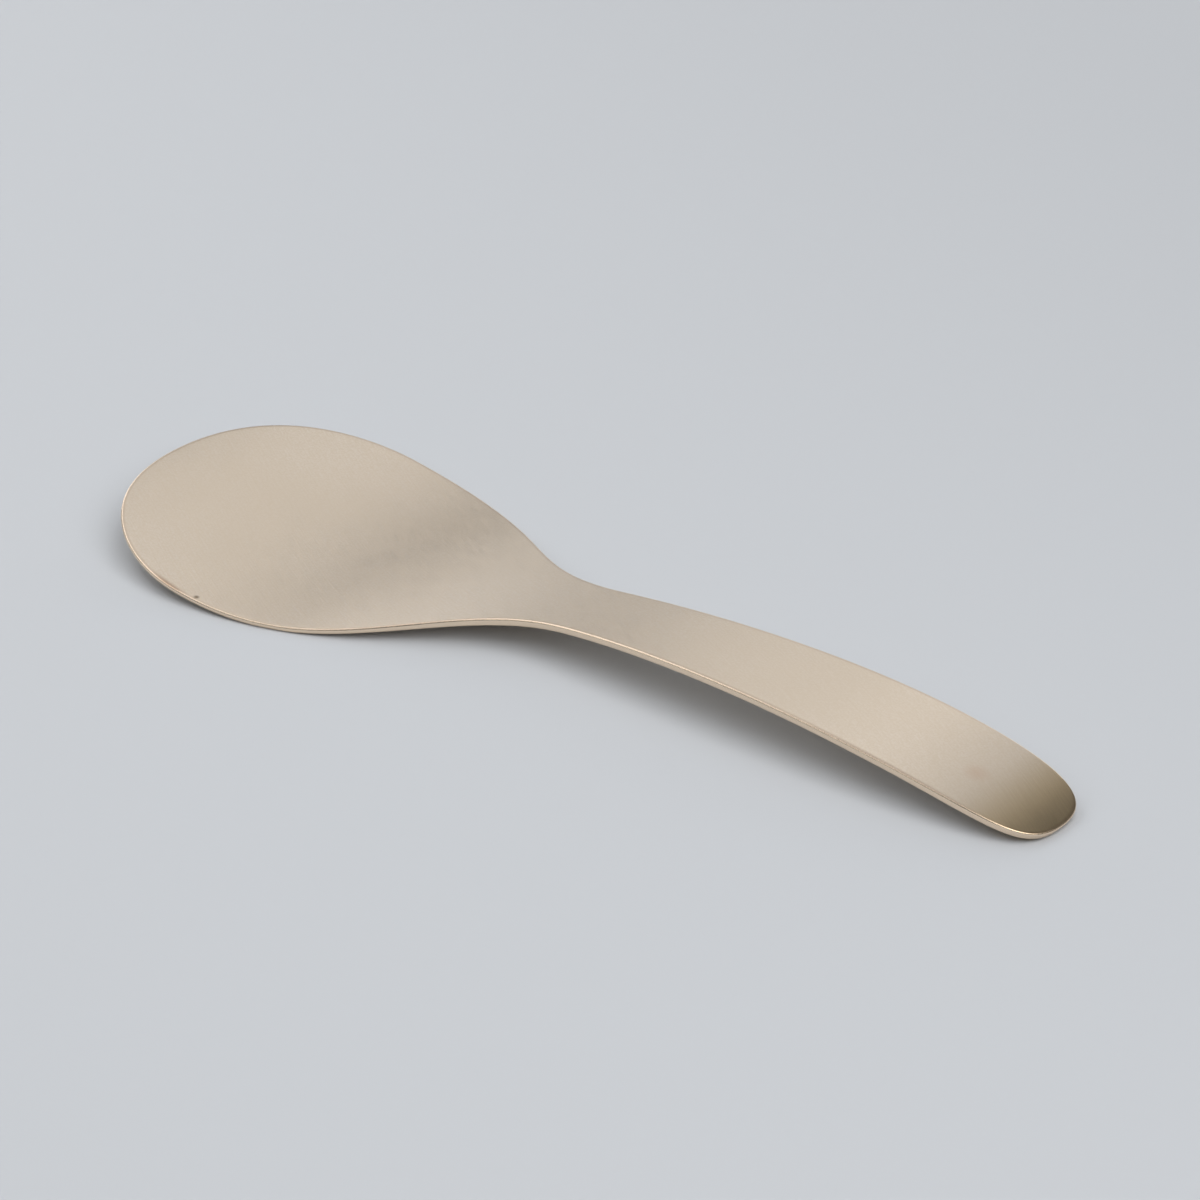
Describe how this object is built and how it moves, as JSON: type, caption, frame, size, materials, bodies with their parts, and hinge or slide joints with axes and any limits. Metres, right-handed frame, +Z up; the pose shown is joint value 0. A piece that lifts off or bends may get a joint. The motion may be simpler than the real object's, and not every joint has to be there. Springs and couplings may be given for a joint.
{
  "type": "rice paddle",
  "caption": "A satin brass rice paddle with an egg-shaped, upturned blade, a narrow neck and an arched handle with a rounded end.",
  "frame": {"origin": "On the table under the middle of the paddle: halfway along its length and on its middle line, at the height of the belly and handle end that it rests on.", "axes": "+X runs along the paddle from the blade's tip to the handle's end, +Y across it to the left when looking along +X, and +Z up from the table."},
  "size_m": [0.1998, 0.0668, 0.0101],
  "materials": {
    "satin_brass": "brushed to a pale satin"
  },
  "bodies": {
    "root": {"paddle": "satin_brass"}
  },
  "joints": []
}
